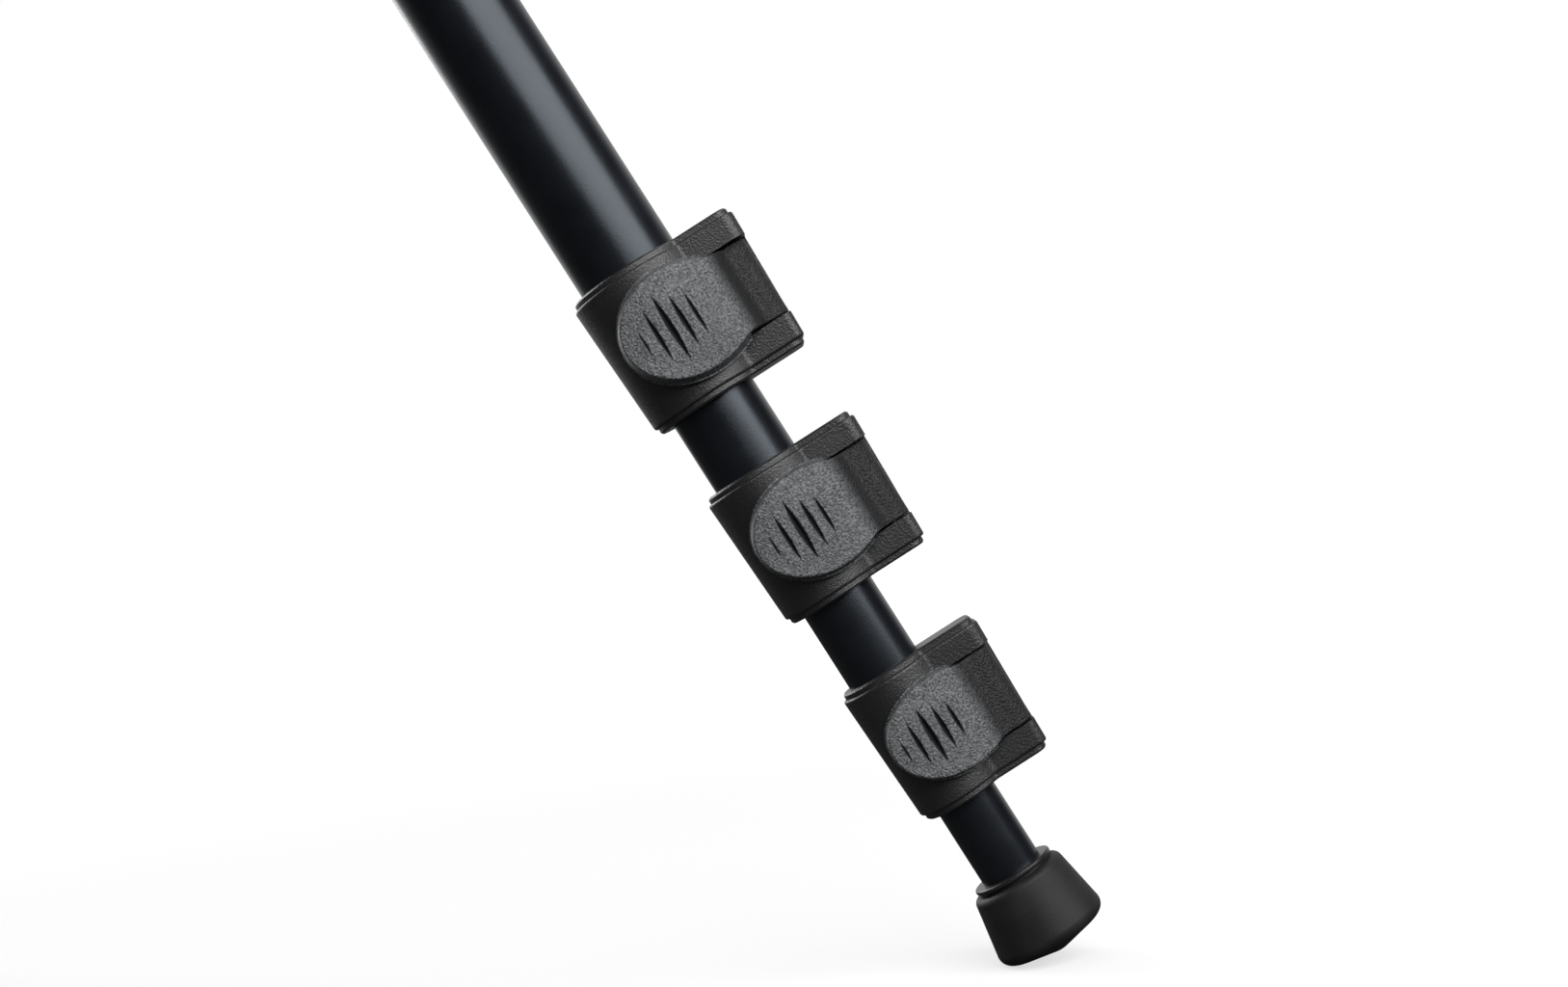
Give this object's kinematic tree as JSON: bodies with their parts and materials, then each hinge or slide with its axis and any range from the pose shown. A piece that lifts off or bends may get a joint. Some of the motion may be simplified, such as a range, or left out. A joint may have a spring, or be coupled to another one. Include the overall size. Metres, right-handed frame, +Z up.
{
  "type": "camera tripod",
  "caption": "Folding camera tripod with telescopic round legs held by flip locks, flared rubber feet, a sliding centre column and a screw stud for a head.",
  "frame": {"origin": "on the floor under the centre column's axis, between the three feet", "axes": "+Z up along the centre column, +X towards the foot of leg 1"},
  "size_m": [0.4594, 0.5258, 0.6096],
  "materials": {
    "tube_black": "black satin anodised, bead blasted",
    "housing_plastic": "black moulded nylon, fine spark grain",
    "lever_plastic": "black moulded nylon, coarse spark grain",
    "foot_rubber": "matt black",
    "plug_plastic": "black, slightly glossy",
    "leg_casting": "die cast, fine black powder coat",
    "shoulder_casting": "die cast, fine black powder coat",
    "latch_metal": "die cast, dark grey satin",
    "bolt_steel": "turned, satin",
    "pin_steel": "ground",
    "stud_steel": "turned, screw thread",
    "ring_steel": "bent wire, zinc plated",
    "platform_metal": "turned, black anodised",
    "bush_plastic": "black acetal",
    "knob_plastic": "black, rubber-like",
    "cap_plastic": "black moulded"
  },
  "bodies": {
    "base": {"shoulder": "shoulder_casting", "hinge_bolts": "bolt_steel", "column_bush": "bush_plastic"},
    "column": {"centre_column": "tube_black", "camera_platform": "platform_metal", "camera_stud": "stud_steel", "column_end_cap": "cap_plastic"},
    "knob": {"column_knob": "knob_plastic"},
    "ring": {"weight_ring": "ring_steel"},
    "leg_1_upper": {"leg_1_top_casting": "leg_casting", "leg_1_tube_1": "tube_black", "leg_1_lock_1_housing": "housing_plastic", "leg_1_lock_1_pin_and_shoe": "pin_steel"},
    "leg_1_latch": {"leg_1_angle_latch": "latch_metal"},
    "leg_1_section_2": {"leg_1_tube_2": "tube_black", "leg_1_lock_2_housing": "housing_plastic", "leg_1_lock_2_pin_and_shoe": "pin_steel"},
    "leg_1_section_3": {"leg_1_tube_3": "tube_black", "leg_1_lock_3_housing": "housing_plastic", "leg_1_lock_3_pin_and_shoe": "pin_steel"},
    "leg_1_section_4": {"leg_1_tube_4": "tube_black", "leg_1_foot_plug": "plug_plastic", "leg_1_rubber_foot": "foot_rubber"},
    "leg_1_lever_1": {"leg_1_lock_1_lever": "lever_plastic"},
    "leg_1_lever_2": {"leg_1_lock_2_lever": "lever_plastic"},
    "leg_1_lever_3": {"leg_1_lock_3_lever": "lever_plastic"},
    "leg_2_upper": {"leg_2_top_casting": "leg_casting", "leg_2_tube_1": "tube_black", "leg_2_lock_1_housing": "housing_plastic", "leg_2_lock_1_pin_and_shoe": "pin_steel"},
    "leg_2_latch": {"leg_2_angle_latch": "latch_metal"},
    "leg_2_section_2": {"leg_2_tube_2": "tube_black", "leg_2_lock_2_housing": "housing_plastic", "leg_2_lock_2_pin_and_shoe": "pin_steel"},
    "leg_2_section_3": {"leg_2_tube_3": "tube_black", "leg_2_lock_3_housing": "housing_plastic", "leg_2_lock_3_pin_and_shoe": "pin_steel"},
    "leg_2_section_4": {"leg_2_tube_4": "tube_black", "leg_2_foot_plug": "plug_plastic", "leg_2_rubber_foot": "foot_rubber"},
    "leg_2_lever_1": {"leg_2_lock_1_lever": "lever_plastic"},
    "leg_2_lever_2": {"leg_2_lock_2_lever": "lever_plastic"},
    "leg_2_lever_3": {"leg_2_lock_3_lever": "lever_plastic"},
    "leg_3_upper": {"leg_3_top_casting": "leg_casting", "leg_3_tube_1": "tube_black", "leg_3_lock_1_housing": "housing_plastic", "leg_3_lock_1_pin_and_shoe": "pin_steel"},
    "leg_3_latch": {"leg_3_angle_latch": "latch_metal"},
    "leg_3_section_2": {"leg_3_tube_2": "tube_black", "leg_3_lock_2_housing": "housing_plastic", "leg_3_lock_2_pin_and_shoe": "pin_steel"},
    "leg_3_section_3": {"leg_3_tube_3": "tube_black", "leg_3_lock_3_housing": "housing_plastic", "leg_3_lock_3_pin_and_shoe": "pin_steel"},
    "leg_3_section_4": {"leg_3_tube_4": "tube_black", "leg_3_foot_plug": "plug_plastic", "leg_3_rubber_foot": "foot_rubber"},
    "leg_3_lever_1": {"leg_3_lock_1_lever": "lever_plastic"},
    "leg_3_lever_2": {"leg_3_lock_2_lever": "lever_plastic"},
    "leg_3_lever_3": {"leg_3_lock_3_lever": "lever_plastic"}
  },
  "joints": [
    {"name": "column_slide", "type": "slide", "parent": "base", "child": "column", "axis": [0, 0, 1], "range_m": [0, 0.2]},
    {"name": "knob_turn", "type": "hinge", "parent": "base", "child": "knob", "pos_m": [0.0099, 0.01715, 0.57714], "axis": [0.5, 0.866, 0], "range_deg": [0, 270]},
    {"name": "ring_swing", "type": "hinge", "parent": "column", "child": "ring", "pos_m": [0, 0, 0.28914], "axis": [0, 1, 0], "range_deg": [-70, 70]},
    {"name": "leg_1_fold", "type": "hinge", "parent": "base", "child": "leg_1_upper", "pos_m": [0.036, 0, 0.54614], "axis": [0, 1, 0], "range_deg": [0, 25]},
    {"name": "leg_1_latch_pull", "type": "slide", "parent": "leg_1_upper", "child": "leg_1_latch", "axis": [0.9063, 0, 0.4226], "range_m": [0, 0.006], "stiffness_N_per_m": 400, "springref_m": -0.003},
    {"name": "leg_1_section_2_slide", "type": "slide", "parent": "leg_1_upper", "child": "leg_1_section_2", "axis": [0.4226, 0, -0.9063], "range_m": [-0.0199, 0.3055]},
    {"name": "leg_1_section_3_slide", "type": "slide", "parent": "leg_1_section_2", "child": "leg_1_section_3", "axis": [0.4226, 0, -0.9063], "range_m": [-0.0218, 0.3318]},
    {"name": "leg_1_section_4_slide", "type": "slide", "parent": "leg_1_section_3", "child": "leg_1_section_4", "axis": [0.4226, 0, -0.9063], "range_m": [-0.0218, 0.3595]},
    {"name": "leg_1_lever_1_flip", "type": "hinge", "parent": "leg_1_upper", "child": "leg_1_lever_1", "pos_m": [0.23187, -0.003, 0.18288], "axis": [-0.4226, 0, 0.9063], "range_deg": [0, 135]},
    {"name": "leg_1_lever_2_flip", "type": "hinge", "parent": "leg_1_section_2", "child": "leg_1_lever_2", "pos_m": [0.25574, -0.003, 0.1277], "axis": [-0.4226, 0, 0.9063], "range_deg": [0, 135]},
    {"name": "leg_1_lever_3_flip", "type": "hinge", "parent": "leg_1_section_3", "child": "leg_1_lever_3", "pos_m": [0.2801, -0.003, 0.0712], "axis": [-0.4226, 0, 0.9063], "range_deg": [0, 135]},
    {"name": "leg_2_fold", "type": "hinge", "parent": "base", "child": "leg_2_upper", "pos_m": [-0.018, 0.03118, 0.54614], "axis": [-0.866, -0.5, 0], "range_deg": [0, 25]},
    {"name": "leg_2_latch_pull", "type": "slide", "parent": "leg_2_upper", "child": "leg_2_latch", "axis": [-0.4532, 0.7849, 0.4226], "range_m": [0, 0.006], "stiffness_N_per_m": 400, "springref_m": -0.003},
    {"name": "leg_2_section_2_slide", "type": "slide", "parent": "leg_2_upper", "child": "leg_2_section_2", "axis": [-0.2113, 0.366, -0.9063], "range_m": [-0.0199, 0.3055]},
    {"name": "leg_2_section_3_slide", "type": "slide", "parent": "leg_2_section_2", "child": "leg_2_section_3", "axis": [-0.2113, 0.366, -0.9063], "range_m": [-0.0218, 0.3318]},
    {"name": "leg_2_section_4_slide", "type": "slide", "parent": "leg_2_section_3", "child": "leg_2_section_4", "axis": [-0.2113, 0.366, -0.9063], "range_m": [-0.0218, 0.3595]},
    {"name": "leg_2_lever_1_flip", "type": "hinge", "parent": "leg_2_upper", "child": "leg_2_lever_1", "pos_m": [-0.11334, 0.20231, 0.18288], "axis": [0.2113, -0.366, 0.9063], "range_deg": [0, 135]},
    {"name": "leg_2_lever_2_flip", "type": "hinge", "parent": "leg_2_section_2", "child": "leg_2_lever_2", "pos_m": [-0.12527, 0.22298, 0.1277], "axis": [0.2113, -0.366, 0.9063], "range_deg": [0, 135]},
    {"name": "leg_2_lever_3_flip", "type": "hinge", "parent": "leg_2_section_3", "child": "leg_2_lever_3", "pos_m": [-0.13745, 0.24408, 0.0712], "axis": [0.2113, -0.366, 0.9063], "range_deg": [0, 135]},
    {"name": "leg_3_fold", "type": "hinge", "parent": "base", "child": "leg_3_upper", "pos_m": [-0.018, -0.03118, 0.54614], "axis": [0.866, -0.5, 0], "range_deg": [0, 25]},
    {"name": "leg_3_latch_pull", "type": "slide", "parent": "leg_3_upper", "child": "leg_3_latch", "axis": [-0.4532, -0.7849, 0.4226], "range_m": [0, 0.006], "stiffness_N_per_m": 400, "springref_m": -0.003},
    {"name": "leg_3_section_2_slide", "type": "slide", "parent": "leg_3_upper", "child": "leg_3_section_2", "axis": [-0.2113, -0.366, -0.9063], "range_m": [-0.0199, 0.3055]},
    {"name": "leg_3_section_3_slide", "type": "slide", "parent": "leg_3_section_2", "child": "leg_3_section_3", "axis": [-0.2113, -0.366, -0.9063], "range_m": [-0.0218, 0.3318]},
    {"name": "leg_3_section_4_slide", "type": "slide", "parent": "leg_3_section_3", "child": "leg_3_section_4", "axis": [-0.2113, -0.366, -0.9063], "range_m": [-0.0218, 0.3595]},
    {"name": "leg_3_lever_1_flip", "type": "hinge", "parent": "leg_3_upper", "child": "leg_3_lever_1", "pos_m": [-0.11853, -0.19931, 0.18288], "axis": [0.2113, 0.366, 0.9063], "range_deg": [0, 135]},
    {"name": "leg_3_lever_2_flip", "type": "hinge", "parent": "leg_3_section_2", "child": "leg_3_lever_2", "pos_m": [-0.13047, -0.21998, 0.1277], "axis": [0.2113, 0.366, 0.9063], "range_deg": [0, 135]},
    {"name": "leg_3_lever_3_flip", "type": "hinge", "parent": "leg_3_section_3", "child": "leg_3_lever_3", "pos_m": [-0.14265, -0.24108, 0.0712], "axis": [0.2113, 0.366, 0.9063], "range_deg": [0, 135]}
  ]
}
